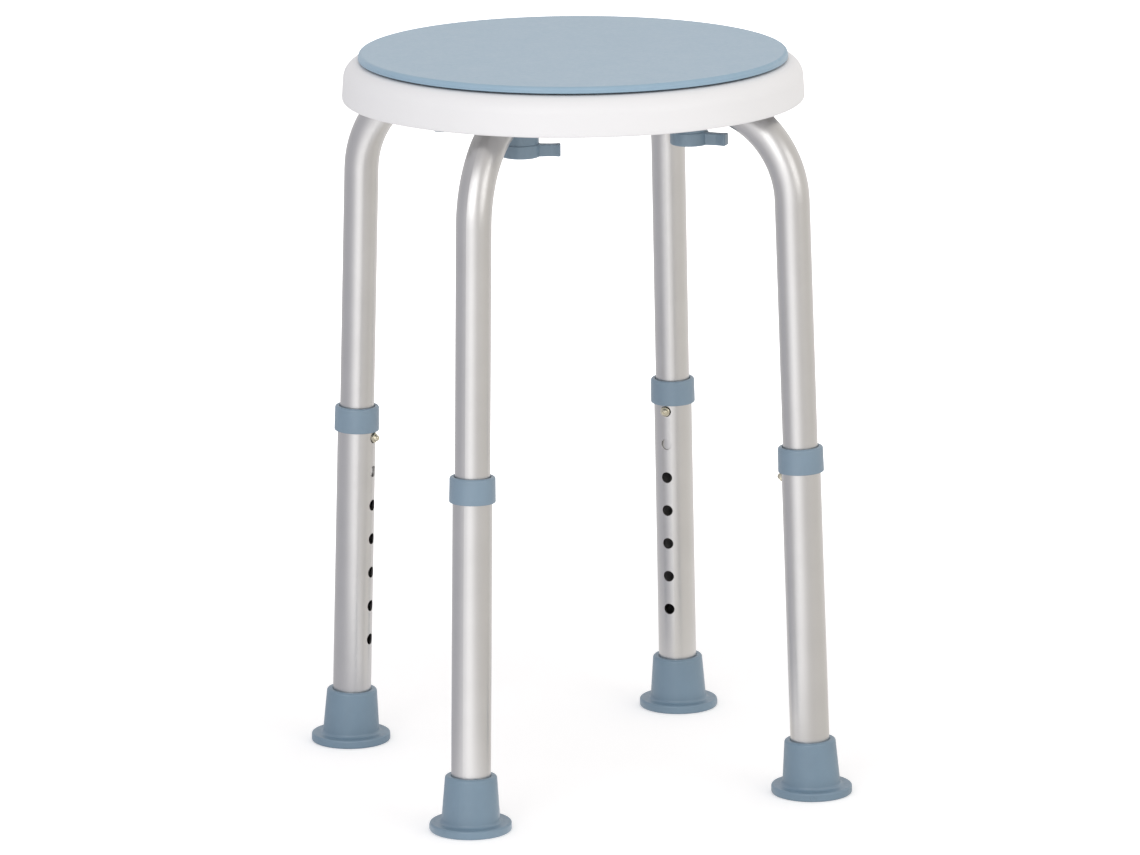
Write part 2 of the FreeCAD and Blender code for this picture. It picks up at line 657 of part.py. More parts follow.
def lever_knob(name, azimuth, lever):
    """A hub with one waisted lever along its X axis, its top face at height 0."""
    body = new_body(f"lever_knob_{name}", clamp_place(azimuth, lever, KNOB_TOP))
    blade = new_sketch(body, "lever_outline", "XY_Plane", "(lever_height - knob_height) / 2")
    waist_at = "((knob_radius + lever_reach) / 2)"
    tip_at = "(lever_reach - lever_rounding)"
    draw_outline(blade, [
        ("lever_root", "-lever_tip / 2"),
        (waist_at, "-lever_waist / 2", "lever_flank", "right"),
        (tip_at, "-lever_tip / 2", "lever_rounding", "left"),
        ("lever_reach", "-lever_tip / 2 + lever_rounding"),
        ("lever_reach", "lever_tip / 2 - lever_rounding", "lever_rounding", "left"),
        (tip_at, "lever_tip / 2", "lever_flank", "right"),
        (waist_at, "lever_waist / 2"),
        ("lever_root", "lever_tip / 2"),
    ])
    pad(body, "lever", blade, "lever_height", down=True)
    round_edges(body, "lever_edges", "lever_edge", level_beyond("lever_root"))
    revolve(body, "hub", [
        (0, "-knob_height"),
        ("knob_radius - knob_rounding", "-knob_height", "knob_rounding", "left"),
        ("knob_radius", "knob_rounding - knob_height"),
        ("knob_radius", "-knob_rounding / 3", "knob_rounding / 3", "left"),
        ("knob_radius - knob_rounding / 3", 0),
        (0, 0),
    ])
    socket = new_sketch(body, "stud_socket_outline", "XY_Plane")
    draw_circle(socket, 0, 0, "stud_radius")
    pocket(body, "stud_socket", socket, "stud_depth")
    return body


def knob_stud(name, azimuth, lever):
    body = new_body(f"knob_stud_{name}", clamp_place(azimuth, lever, KNOB_TOP))
    top = f"({INSERT_TOP} - {KNOB_TOP} - insert_cover)"
    revolve(body, "stud", [
        (0, "-stud_depth"),
        ("stud_radius", "-stud_depth"),
        ("stud_radius", f"{top} - stud_chamfer"),
        ("stud_radius - stud_chamfer", top),
        (0, top),
    ])
    return body


def sleeve(name, inner, outer, bottom, height, spot=(0, 0)):
    """A plain ring made of two cylinders, for the threaded inserts."""
    outside = document.addObject("Part::Cylinder", name + "_outside")
    outside.setExpression("Radius", bound(outer))
    inside = document.addObject("Part::Cylinder", name + "_inside")
    inside.setExpression("Radius", bound(inner))
    for cylinder in (outside, inside):
        cylinder.setExpression("Height", bound(height))
        cylinder.Placement.Base = FreeCAD.Vector(spot[0], spot[1], number(bottom))
    ring = document.addObject("Part::Cut", name)
    ring.Base = outside
    ring.Tool = inside
    return ring


def group(label, members):
    compound = document.addObject("Part::Compound", label)
    compound.Label = label
    compound.Links = members
    return compound


def leg_inserts():
    """The four threaded inserts in the seat that the knobs' studs screw into."""
    rings = []
    for name, azimuth, lever in LEGS:
        spot = clamp_place(azimuth, 0, RUN).Base
        rings.append(sleeve(f"leg_insert_{name}", "stud_radius + thread_play", LEG_INSERT_RADIUS,
                            f"{INSERT_TOP} - stud_grip + channel_clearance", "stud_grip - channel_clearance",
                            (spot.x, spot.y)))
    return group("leg_inserts", rings)


# ---------------------------------------------------------------- seat


def seat_shell():
    """Moulded seat: rim, land, sunk pan, hub, ribs, leg channels and bosses.  Its X axis lies on a leg."""
    body = new_body("seat_shell", FreeCAD.Placement(FreeCAD.Vector(), turned(SEAT_TURN)))
    shoulder = "(seat_radius - side_draft)"
    inner_side = "(seat_radius - seat_wall)"
    bore = BUSH_RADIUS
    hub = f"({bore} + hub_wall)"
    rib_low = f"({PLATE} - rib_depth)"
    inner_rib = ["(inner_ring_radius - rib_thickness / 2)", "(inner_ring_radius + rib_thickness / 2)"]
    outer_rib = [f"({OUTER_RING} - rib_thickness / 2)", f"({OUTER_RING} + rib_thickness / 2)"]
    revolve(body, "shell", [
        (bore, PAN_FLOOR),
        (PAN_RADIUS, PAN_FLOOR),
        (f"{PAN_RADIUS} + pan_draft", "seat_height"),
        (shoulder, "seat_height"),
        ("seat_radius", f"{RIM_BOTTOM} + seat_wall"),
        ("seat_radius - lip_draft", RIM_BOTTOM),
        (inner_side, RIM_BOTTOM),
        (f"{inner_side} - side_draft", "seat_height - seat_wall"),
        (f"{PAN_RADIUS} + pan_draft + seat_wall", "seat_height - seat_wall"),
        (f"{PAN_RADIUS} + seat_wall", PLATE),
        (outer_rib[1], PLATE),
        (outer_rib[1], rib_low),
        (outer_rib[0], rib_low),
        (outer_rib[0], PLATE),
        (inner_rib[1], PLATE),
        (inner_rib[1], rib_low),
        (inner_rib[0], rib_low),
        (inner_rib[0], PLATE),
        (hub, PLATE),
        (hub, HUB_BOTTOM),
        (bore, HUB_BOTTOM),
    ])
    round_edges(body, "shoulder_rounding", "shoulder_radius", circle_at(shoulder, "seat_height"))
    round_edges(body, "inner_rounding", "shoulder_radius - seat_wall",
                circle_at(f"{inner_side} - side_draft", "seat_height - seat_wall"))
    round_edges(body, "lip_rounding", "lip_radius",
                circle_at("seat_radius - lip_draft", RIM_BOTTOM), circle_at(inner_side, RIM_BOTTOM))

    skirt = "(seat_radius - side_draft - seat_wall / 2)"
    spoke_features = []
    for side in (-1, 1):
        spoke = new_sketch(body, f"spoke_outline_{side + 1}", "XZ_Plane",
                           turn=FreeCAD.Rotation(FreeCAD.Vector(0, 1, 0), side * number("spoke_angle")))
        draw_outline(spoke, [
            (f"{hub} - hub_wall / 2", PLATE),
            (f"{hub} - hub_wall / 2", rib_low),
            (PAN_RADIUS, rib_low),
            (skirt, f"{RIM_BOTTOM} + seat_wall * 2"),
            (skirt, PLATE),
        ])
        spoke_features.append(pad(body, f"spoke_{side + 1}", spoke, "rib_thickness", middle=True))
    repeat_round(body, "spokes", spoke_features, LEG_COUNT)

    half_channel = f"({CHANNEL_RADIUS} + channel_wall)"
    channel = new_sketch(body, "channel_outline", "XY_Plane", f"{RUN} - channel_drop")
    draw_outline(channel, [
        ("channel_stop", f"-{half_channel}"),
        (f"{PAN_RADIUS} + seat_wall", f"-{half_channel}"),
        (f"{PAN_RADIUS} + seat_wall", half_channel),
        ("channel_stop", half_channel),
    ])
    block = pad(body, "channel_block", channel, f"{PLATE} - {RUN} + channel_drop")
    repeat_round(body, "channel_blocks", [block], LEG_COUNT)

    trough = new_sketch(body, "trough_outline", "YZ_Plane", "channel_stop + stop_wall")
    low = f"({RIM_BOTTOM} - seat_wall)"
    draw_outline(trough, [
        (f"-{CHANNEL_RADIUS}", low),
        (CHANNEL_RADIUS, low),
        (CHANNEL_RADIUS, RUN, CHANNEL_RADIUS, "left"),
        (0, f"{RUN} + {CHANNEL_RADIUS}", CHANNEL_RADIUS, "left"),
        (f"-{CHANNEL_RADIUS}", RUN),
    ])
    cut = pocket(body, "leg_trough", trough, f"{PAN_RADIUS} + 2 * seat_wall - channel_stop - stop_wall",
                 upward=True)
    repeat_round(body, "leg_troughs", [cut], LEG_COUNT)

    boss = new_sketch(body, "boss_outline", "XY_Plane", f"{PLATE} - cradle_depth / 2")
    draw_circle(boss, CLAMP_RADIUS, 0, BOSS_RADIUS)
    post = pad(body, "insert_boss", boss, f"{BOSS_TOP} - {PLATE} + cradle_depth / 2")
    repeat_round(body, "insert_bosses", [post], LEG_COUNT)
    hole = new_sketch(body, "insert_hole_outline", "XY_Plane", f"{RUN} + upper_radius / 2")
    draw_circle(hole, CLAMP_RADIUS, 0, LEG_INSERT_RADIUS)
    well = pocket(body, "insert_hole", hole, f"{INSERT_TOP} - {RUN} - upper_radius / 2", upward=True)
    repeat_round(body, "insert_holes", [well], LEG_COUNT)

    drain = new_sketch(body, "drain_outline", "XY_Plane", f"{PAN_FLOOR} + seat_wall")
    draw_circle(drain, f"{DRAIN_CIRCLE} * cos(drain_angle)", f"{DRAIN_CIRCLE} * sin(drain_angle)",
                "drain_radius")
    drain_hole = pocket(body, "drain_hole", drain, "3 * seat_wall")
    repeat_round(body, "drain_holes", [drain_hole], LEG_COUNT)
    return body


def race_corners(flat, ball_side, outer):
    """A ring with one flat face and one face with a groove that follows the balls."""
    groove_radius = "(ball_radius + ball_clearance)"
    half_chord = f"sqrt({groove_radius} ^ 2 - ({ball_side} - {BALLS}) ^ 2)"
    near = f"({RACE_RADIUS} - race_width / 2)"
    far = f"({RACE_RADIUS} + race_width / 2)"
    return [
        (near, flat),
        (near, ball_side),
        (f"{RACE_RADIUS} - {half_chord}", ball_side, groove_radius, outer),
        (f"{RACE_RADIUS} + {half_chord}", ball_side),
        (far, ball_side),
        (far, flat),
    ]


def lower_race():
    body = new_body("lower_race")
    revolve(body, "race", race_corners(PAN_FLOOR, f"({BALLS} - race_gap / 2)", "left"))
    return body


def upper_race():
    body = new_body("upper_race")
    revolve(body, "race", race_corners(DISC_UNDER, f"({BALLS} + race_gap / 2)", "right"))
    return body


def ball_cage():
    body = new_body("ball_cage")
    ring = new_sketch(body, "cage_outline", "XY_Plane", f"{BALLS} - cage_thickness / 2")
    draw_circle(ring, 0, 0, f"{RACE_RADIUS} + cage_width / 2")
    draw_circle(ring, 0, 0, f"{RACE_RADIUS} - cage_width / 2")
    pad(body, "cage", ring, "cage_thickness")
    hole = new_sketch(body, "pocket_outline", "XY_Plane", f"{BALLS} - cage_thickness")
    draw_circle(hole, RACE_RADIUS, 0, "ball_radius + cage_play")
    cut = pocket(body, "ball_pocket", hole, "cage_thickness * 2", upward=True)
    repeat_round(body, "ball_pockets", [cut], "ball_count")
    return body


def bearing_balls():
    balls = []
    count = round(number("ball_count"))
    for index in range(count):
        ball = document.addObject("Part::Sphere", f"ball_{index}")
        ball.setExpression("Radius", bound("ball_radius"))
        centre = turned(360 * index / count).multVec(FreeCAD.Vector(number(RACE_RADIUS), 0, 0))
        ball.Placement.Base = FreeCAD.Vector(centre.x, centre.y, number(BALLS))
        balls.append(ball)
    return group("bearing_balls", balls)


def swivel_disc():
    """The disc that turns on the seat, with its skirt, ribs and pivot boss."""
    body = new_body("swivel_disc")
    rib_low = f"({DISC_UNDER} - disc_rib_depth)"
    inner_rib = f"({DISC_RING} - rib_thickness / 2)"
    outer_rib = f"({DISC_RING} + rib_thickness / 2)"
    screw_well = "(screw_grip + pivot_washer_thickness)"
    spoke_start = f"((pivot_radius + {INSERT_RADIUS}) / 2)"
    revolve(body, "disc", [
        (0, DISC_TOP),
        (DISC_RADIUS, DISC_TOP),
        (DISC_RADIUS, DISC_BOTTOM),
        (f"{DISC_RADIUS} - edge_wall", DISC_BOTTOM),
        (f"{DISC_RADIUS} - edge_wall", DISC_UNDER),
        (outer_rib, DISC_UNDER),
        (outer_rib, rib_low),
        (inner_rib, rib_low),
        (inner_rib, DISC_UNDER),
        ("pivot_radius", DISC_UNDER),
        ("pivot_radius", PIVOT_BOTTOM),
        (INSERT_RADIUS, PIVOT_BOTTOM),
        (INSERT_RADIUS, f"{PIVOT_BOTTOM} + {screw_well}"),
        (0, f"{PIVOT_BOTTOM} + {screw_well}"),
    ])
    spoke = new_sketch(body, "spoke_outline", "XZ_Plane")
    draw_outline(spoke, [
        (spoke_start, DISC_UNDER),
        (inner_rib, DISC_UNDER),
        (inner_rib, rib_low),
        (spoke_start, rib_low),
    ])
    rib = pad(body, "spoke", spoke, "rib_thickness", middle=True)
    repeat_round(body, "spokes", [rib], "disc_spokes")
    round_edges(body, "top_rounding", "disc_rounding", circle_at(DISC_RADIUS, DISC_TOP))
    round_edges(body, "edge_rounding", "disc_rounding / 4", circle_at(DISC_RADIUS, DISC_BOTTOM))
    return body


def pivot_bush():
    body = new_body("pivot_bush")
    bore = "(pivot_radius + pivot_play)"
    flange_top = f"({PAN_FLOOR} + bush_flange_height)"
    revolve(body, "bush", [
        (bore, HUB_BOTTOM),
        (BUSH_RADIUS, HUB_BOTTOM),
        (BUSH_RADIUS, PAN_FLOOR),
        (f"{BUSH_RADIUS} + bush_flange", PAN_FLOOR),
        (f"{BUSH_RADIUS} + bush_flange", flange_top),
        (bore, flange_top),
    ])
    return body


def pivot_insert():
    ring = sleeve("pivot_insert", "screw_radius + thread_play", INSERT_RADIUS, PIVOT_BOTTOM,
                  "screw_grip + pivot_washer_thickness")
    ring.Label = "pivot_insert"
    return ring


def pivot_washer():
    body = new_body("pivot_washer")
    ring = new_sketch(body, "washer_outline", "XY_Plane", f"{PIVOT_BOTTOM} - pivot_washer_thickness")
    draw_circle(ring, 0, 0, "pivot_washer_radius")
    draw_circle(ring, 0, 0, "screw_radius + stud_clearance")
    pad(body, "washer", ring, "pivot_washer_thickness")
    return body


def pivot_screw():
    body = new_body("pivot_screw")
    seat = f"({PIVOT_BOTTOM} - pivot_washer_thickness)"
    revolve(body, "screw", [
        (0, f"{seat} - screw_head_height"),
        ("screw_head_radius", f"{seat} - screw_head_height"),
        ("screw_head_radius", seat),
        ("screw_radius", seat),
        ("screw_radius", f"{PIVOT_BOTTOM} + screw_grip"),
        (0, f"{PIVOT_BOTTOM} + screw_grip"),
    ])
    round_edges(body, "head_rounding", "screw_head_height / 2",
                circle_at("screw_head_radius", f"{seat} - screw_head_height"))
    socket = new_sketch(body, "socket_outline", "XY_Plane", f"{seat} - screw_head_height")
    corner = "(screw_socket / cos(30))"
    draw_outline(socket, [(f"{corner} * cos({angle})", f"{corner} * sin({angle})")
                          for angle in range(0, 360, 60)])
    pocket(body, "socket", socket, "screw_socket_depth", upward=True)
    return body


# ---------------------------------------------------------------- the whole stool


def build():
    parts = [
        seat_shell(), leg_inserts(), pivot_bush(), lower_race(), ball_cage(), bearing_balls(),
        swivel_disc(), upper_race(), pivot_insert(), pivot_washer(), pivot_screw(),
    ]
    for name, azimuth, lever in LEGS:
        parts += [
            upper_leg_tube(name, azimuth), lower_leg_tube(name, azimuth), leg_collar(name, azimuth),
            foot(name, azimuth), foot_washer(name, azimuth), snap_button(name, azimuth),
            button_spring(name, azimuth), clamp_saddle(name, azimuth), lever_knob(name, azimuth, lever),
            knob_stud(name, azimuth, lever),
        ]
    document.recompute()
    return parts


def check(parts):
    for item in document.Objects:
        if "Invalid" in item.State or "Error" in item.State:
            raise RuntimeError(f"{item.Name} did not recompute: {item.State}")
    for part in parts:
        if part.Shape.isNull() or not part.Shape.isValid() or part.Shape.Volume <= 0:
            raise RuntimeError(f"{part.Label} has no valid solid")


def export(parts):
    os.makedirs("parts", exist_ok=True)
    for part in parts:
        part.Shape.exportStep(os.path.join("parts", part.Label + ".step"))
    print(f"{len(parts)} sub-parts written")


fill_sheet()
stool = build()
check(stool)
export(stool)
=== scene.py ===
"""Dresses the shower stool's frame: a material for every piece, the fine mouldings that the solids leave
out, a pale floor, a soft studio and a camera.  Lengths are in metres, +Z is up and -Y is the front."""

import json
import math

import bmesh
import bpy
from mathutils import Matrix, Vector

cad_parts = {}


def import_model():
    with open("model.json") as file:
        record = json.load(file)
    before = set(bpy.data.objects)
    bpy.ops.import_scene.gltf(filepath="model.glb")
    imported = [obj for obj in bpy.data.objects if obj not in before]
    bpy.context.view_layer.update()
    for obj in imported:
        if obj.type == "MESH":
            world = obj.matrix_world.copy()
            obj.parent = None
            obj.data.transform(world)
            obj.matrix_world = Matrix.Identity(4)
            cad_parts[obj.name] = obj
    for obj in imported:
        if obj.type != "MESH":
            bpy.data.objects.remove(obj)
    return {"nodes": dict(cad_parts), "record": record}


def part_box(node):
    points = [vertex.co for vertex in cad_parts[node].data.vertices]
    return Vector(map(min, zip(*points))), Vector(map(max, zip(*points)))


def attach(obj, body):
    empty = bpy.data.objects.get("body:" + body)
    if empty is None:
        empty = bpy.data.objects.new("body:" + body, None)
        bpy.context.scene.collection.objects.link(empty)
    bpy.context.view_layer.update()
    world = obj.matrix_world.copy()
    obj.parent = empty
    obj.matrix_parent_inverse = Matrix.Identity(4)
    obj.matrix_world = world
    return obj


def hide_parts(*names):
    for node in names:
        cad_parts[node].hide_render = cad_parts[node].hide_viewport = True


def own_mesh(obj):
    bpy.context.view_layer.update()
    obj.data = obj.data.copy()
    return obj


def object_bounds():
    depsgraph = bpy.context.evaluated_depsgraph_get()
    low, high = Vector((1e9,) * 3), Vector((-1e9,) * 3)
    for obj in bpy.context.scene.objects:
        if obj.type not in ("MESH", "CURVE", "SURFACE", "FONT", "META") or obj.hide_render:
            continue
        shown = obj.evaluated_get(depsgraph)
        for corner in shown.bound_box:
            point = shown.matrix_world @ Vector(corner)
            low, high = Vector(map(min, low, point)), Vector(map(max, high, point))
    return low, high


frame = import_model()
CAD_LOW, CAD_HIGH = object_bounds()
MM = 0.001

# each leg's name and the direction in which it stands, in degrees from +X
LEGS = {"front_left": -135, "front_right": -45, "rear_right": 45, "rear_left": 135}

# the camera, on the side that the stool is seen from
VIEW_AZIMUTH = -20.64
CAMERA_DISTANCE = 4.880
CAMERA_HEIGHT = 1.3548
CAMERA_AIM = (-0.0038, 0.0014, 0.2521)
CAMERA_ROLL = -0.416
CAMERA_CLIP = 100
LENS = 219.2
SENSOR = 36.0

# the studio: its walls to the stool's left and right, and the glow of the key light and of the white
# backdrop behind the stool, each as (azimuth, how narrow, how bright)
LEFT_WALL = (0.58, 0.58, 0.62)
RIGHT_WALL = (0.80, 0.77, 0.73)
KEY_AZIMUTH = -17
GLOWS = ((KEY_AZIMUTH, 8, 0.74), (165, 2, 0.25))

# the floor: between these distances from the stool, its own light rises between these strengths, so that
# the stool's shadow fades into white
FLOOR_SHADE = (0.35, 1.0)
FLOOR_LIFT = (0.32, 1.0)
FLOOR_RADIUS = 30

# the lamps: name, azimuth, elevation, distance, size and watts
LAMPS = (("key", KEY_AZIMUTH, 28, 3.0, 2.0, 16), ("fill", 50, 20, 3.0, 1.6, 8))

# the fine mouldings, in millimetres and degrees.  The lip's outline is (out from the disc's side, above its
# foot), and the gate mark's is (out from its middle, above the flange's side).
LIP_OUTLINE = ((-0.6, 0.05), (-0.03, 0.05), (0.22, 0.3), (0.22, 1.1), (0.12, 1.3), (-0.6, 1.4))
LIP_SEGMENTS = 384
DISC_SIDE_BAND = 0.7  # the disc's side and its roundings are this near its full radius
GATE_OUTLINE = ((0, -0.5), (2.1, -0.5), (2.1, 0.12), (1.9, 0.2), (1.5, 0.2), (1.3, 0.08),
                (0.5, 0.08), (0.35, 0.22), (0, 0.22))
GATE_SEGMENTS = 40
GATE_HEIGHT = 2.6  # above the floor
GATE_TURN = -65  # from the leg's direction
SHARP_ANGLE = 35  # edges of a moulding that turn more than this stay sharp

# the sockets of a Mix node that mixes colours
MIX_SHARE, MIX_FIRST, MIX_SECOND, MIX_RESULT = 0, 6, 7, 2


def linear(red, green, blue):
    """A colour written as 0 to 255 in sRGB, as the shaders want it."""
    def channel(value):
        share = value / 255
        return share / 12.92 if share <= 0.04045 else ((share + 0.055) / 1.055) ** 2.4
    return (channel(red), channel(green), channel(blue), 1.0)


def level_way(azimuth):
    """The level direction at that many degrees to the right of the camera, as seen from the stool."""
    turn = math.radians(VIEW_AZIMUTH + azimuth)
    return Vector((math.sin(turn), -math.cos(turn), 0))


# ------------------------------------------------------------------ materials


class Shader:
    """One material's node tree, with short calls for the nodes that these materials use."""

    def __init__(self, name, colour, roughness, metallic=0.0, specular=0.5):
        self.material = bpy.data.materials.new(name)
        self.material.use_nodes = True
        self.tree = self.material.node_tree
        self.surface = self.tree.nodes["Principled BSDF"]
        self.set(self.surface, "Base Color", colour)
        self.set(self.surface, "Roughness", roughness)
        self.set(self.surface, "Metallic", metallic)
        self.set(self.surface, "Specular IOR Level", specular)
        self.place = self.tree.nodes.new("ShaderNodeTexCoord").outputs["Object"]
        self.normal = None

    def set(self, node, socket, value):
        node.inputs[socket].default_value = value

    def link(self, output, node, socket):
        self.tree.links.new(output, node.inputs[socket])

    def noise(self, scale, detail=2.0):
        node = self.tree.nodes.new("ShaderNodeTexNoise")
        self.set(node, "Scale", scale)
        self.set(node, "Detail", detail)
        self.link(self.place, node, "Vector")
        return node.outputs["Fac"]

    def span(self, value, low, high):
        """The value's middle range, 0.3 to 0.7, spread from low to high."""
        node = self.tree.nodes.new("ShaderNodeMapRange")
        for socket, number in (("From Min", 0.3), ("From Max", 0.7), ("To Min", low), ("To Max", high)):
            self.set(node, socket, number)
        self.link(value, node, "Value")
        return node.outputs["Result"]

    def tint(self, share, first, second):
        """Colours the surface between two colours by the share."""
        mix = self.tree.nodes.new("ShaderNodeMix")
        mix.data_type = "RGBA"
        self.set(mix, MIX_FIRST, first)
        self.set(mix, MIX_SECOND, second)
        self.link(share, mix, MIX_SHARE)
        self.link(mix.outputs[MIX_RESULT], self.surface, "Base Color")

    def rough(self, value, low, high):
        """Lets the roughness vary from low to high with the value."""
        self.link(self.span(value, low, high), self.surface, "Roughness")

    def bump(self, height, depth):
        """Adds a relief of that depth, in metres, to the surface."""
        node = self.tree.nodes.new("ShaderNodeBump")
        self.set(node, "Strength", 1.0)
        self.set(node, "Distance", depth)
        self.link(height, node, "Height")
        if self.normal:
            self.link(self.normal, node, "Normal")
        self.normal = node.outputs["Normal"]
        self.link(self.normal, self.surface, "Normal")


def seat_white():
    shader = Shader("seat_white", linear(243, 243, 244), 0.4, specular=0.35)
    shader.tint(shader.span(shader.noise(9), 0, 1), linear(243, 243, 244), linear(240, 240, 241))
    shader.rough(shader.noise(160, 4), 0.36, 0.46)
    shader.bump(shader.noise(1500, 3), 0.00002)
    return shader.material


def disc_plastic():
    shader = Shader("disc_plastic", linear(155, 182, 201), 0.48, specular=0.25)
    shader.set(shader.surface, "Sheen Weight", 0.3)
    shader.set(shader.surface, "Sheen Roughness", 0.35)
    shader.tint(shader.span(shader.noise(60, 5), 0, 1), linear(153, 181, 200), linear(158, 184, 202))
    shader.rough(shader.noise(300, 3), 0.42, 0.54)
    shader.bump(shader.noise(900, 4), 0.00008)
    return shader.material


def grey_blue(name, base, roughness, grain, depth):
    """Blue-grey plastic or rubber: a colour, a roughness and a grain of that scale and depth."""
    shader = Shader(name, linear(*base), roughness, specular=0.8)
    darker = [value * 0.95 for value in base]
    shader.tint(shader.span(shader.noise(35, 4), 0, 1), linear(*base), linear(*darker))
    shader.rough(shader.noise(grain / 3, 3), roughness - 0.06, roughness + 0.06)
    shader.bump(shader.noise(grain, 3), depth)
    return shader.material


def collar_plastic():
    return grey_blue("collar_plastic", (129, 152, 170), 0.4, 1200, 0.00003)


def foot_rubber():
    return grey_blue("foot_rubber", (120, 145, 164), 0.42, 1000, 0.00005)


def knob_plastic():
    return grey_blue("knob_plastic", (125, 148, 165), 0.4, 1300, 0.00003)


def anodised_tube():
    shader = Shader("anodised_tube", linear(208, 207, 206), 0.33, metallic=1.0)
    shader.tint(shader.span(shader.noise(40, 3), 0, 1), linear(210, 209, 208), linear(206, 205, 204))
    shader.rough(shader.noise(700, 3), 0.29, 0.38)
    shader.bump(shader.noise(1600, 3), 0.000008)
    return shader.material


def metal(name, base, roughness):
    shader = Shader(name, linear(*base), roughness, metallic=1.0)
    shader.rough(shader.noise(700, 3), roughness - 0.07, roughness + 0.08)
    shader.bump(shader.noise(1400, 3), 0.00001)
    return shader.material


def bearing_plastic():
    shader = Shader("bearing_plastic", linear(226, 225, 216), 0.4)
    shader.rough(shader.noise(300, 3), 0.35, 0.48)
    return shader.material


FINISHES = {
    "seat_plastic": seat_white(),
    "disc_plastic": disc_plastic(),
    "collar_plastic": collar_plastic(),
    "foot_rubber": foot_rubber(),
    "knob_plastic": knob_plastic(),
    "tube_aluminium": anodised_tube(),
    "button_steel": metal("button_steel", (206, 200, 180), 0.25),
    "spring_steel": metal("spring_steel", (172, 172, 176), 0.3),
    "zinc_steel": metal("zinc_steel", (196, 199, 204), 0.34),
    "brass": metal("brass", (205, 176, 110), 0.33),
    "bearing_steel": metal("polished_steel", (212, 212, 216), 0.12),
    "bearing_plastic": bearing_plastic(),
}


def dress_nodes():
    """Gives every solid the finish of its slot in the record."""
    for subpart in frame["record"]["subparts"]:
        node = frame["nodes"][subpart["node"]]
        node.data.materials.clear()
        node.data.materials.append(FINISHES[subpart["material_slot"]])


# ------------------------------------------------------------------ fine mouldings


def lathe(outline, segments):
    """A bmesh of a closed outline of (radius, height) points, turned about the Z axis."""
    made = bmesh.new()
    rings = []
    for step in range(segments):
        turn = 2 * math.pi * step / segments
        rings.append([made.verts.new((radius * math.cos(turn), radius * math.sin(turn), height))
                      for radius, height in outline])
    for near, far in zip(rings, rings[1:] + rings[:1]):
        for index in range(len(outline)):
            after = (index + 1) % len(outline)
            made.faces.new((near[index], far[index], far[after], near[after]))
    bmesh.ops.remove_doubles(made, verts=made.verts, dist=1e-7)
    bmesh.ops.dissolve_degenerate(made, edges=made.edges, dist=1e-7)
    bmesh.ops.recalc_face_normals(made, faces=made.faces)
    return made


def add_piece(name, made, slot, body, place=None):
    """Makes an object of the bmesh in the finish of that slot, put at the place, riding on the body."""
    mesh = bpy.data.meshes.new(name)
    if place:
        made.transform(place)
    made.to_mesh(mesh)
    made.free()
    mesh.shade_smooth()
    mesh.set_sharp_from_angle(angle=math.radians(SHARP_ANGLE))
    mesh.materials.append(FINISHES[slot])
    item = bpy.data.objects.new(name, mesh)
    bpy.context.scene.collection.objects.link(item)
    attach(item, body)
    return item


def disc_lip():
    """The thin lip at the foot of the disc's side, under a fine parting line."""
    corners = frame["nodes"]["swivel_disc"].data.vertices
    radius = max(math.hypot(corner.co.x, corner.co.y) for corner in corners)
    side = radius - DISC_SIDE_BAND * MM
    foot = min(corner.co.z for corner in corners if math.hypot(corner.co.x, corner.co.y) > side)
    outline = [(radius + out * MM, foot + up * MM) for out, up in LIP_OUTLINE]
    add_piece("disc_lip", lathe(outline, LIP_SEGMENTS), "disc_plastic", "swivel")


def gate_marks():
    """The moulding gate's small round scar on the side of each foot's flange."""
    for leg, azimuth in LEGS.items():
        low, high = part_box(f"foot_{leg}")
        radius = (high.x - low.x) / 2
        middle = Vector(((low.x + high.x) / 2, (low.y + high.y) / 2, low.z + GATE_HEIGHT * MM))
        turn = math.radians(azimuth + GATE_TURN)
        way = Vector((math.cos(turn), math.sin(turn), 0))
        facing = way.to_track_quat("Z", "Y").to_matrix().to_4x4()
        place = Matrix.Translation(middle + way * radius) @ facing
        outline = [(out * MM, up * MM) for out, up in GATE_OUTLINE]
        made = lathe(outline, GATE_SEGMENTS)
        add_piece(f"gate_mark_{leg}", made, "foot_rubber", f"lower_leg_{leg}", place)


def leaf_springs():
    """The leaf spring inside each leg, a copy of its solid riding on the root, where it stays as it is; the
    real spring folds up against the tube as its button is pressed in.
    """
    for leg in LEGS:
        node = frame["nodes"][f"button_spring_{leg}"]
        spring = bpy.data.objects.new(f"leaf_spring_{leg}", node.data.copy())
        spring.matrix_world = node.matrix_world.copy()
        bpy.context.scene.collection.objects.link(spring)
        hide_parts(node.name)
        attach(spring, "root")
        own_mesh(spring)


# ------------------------------------------------------------------ stage


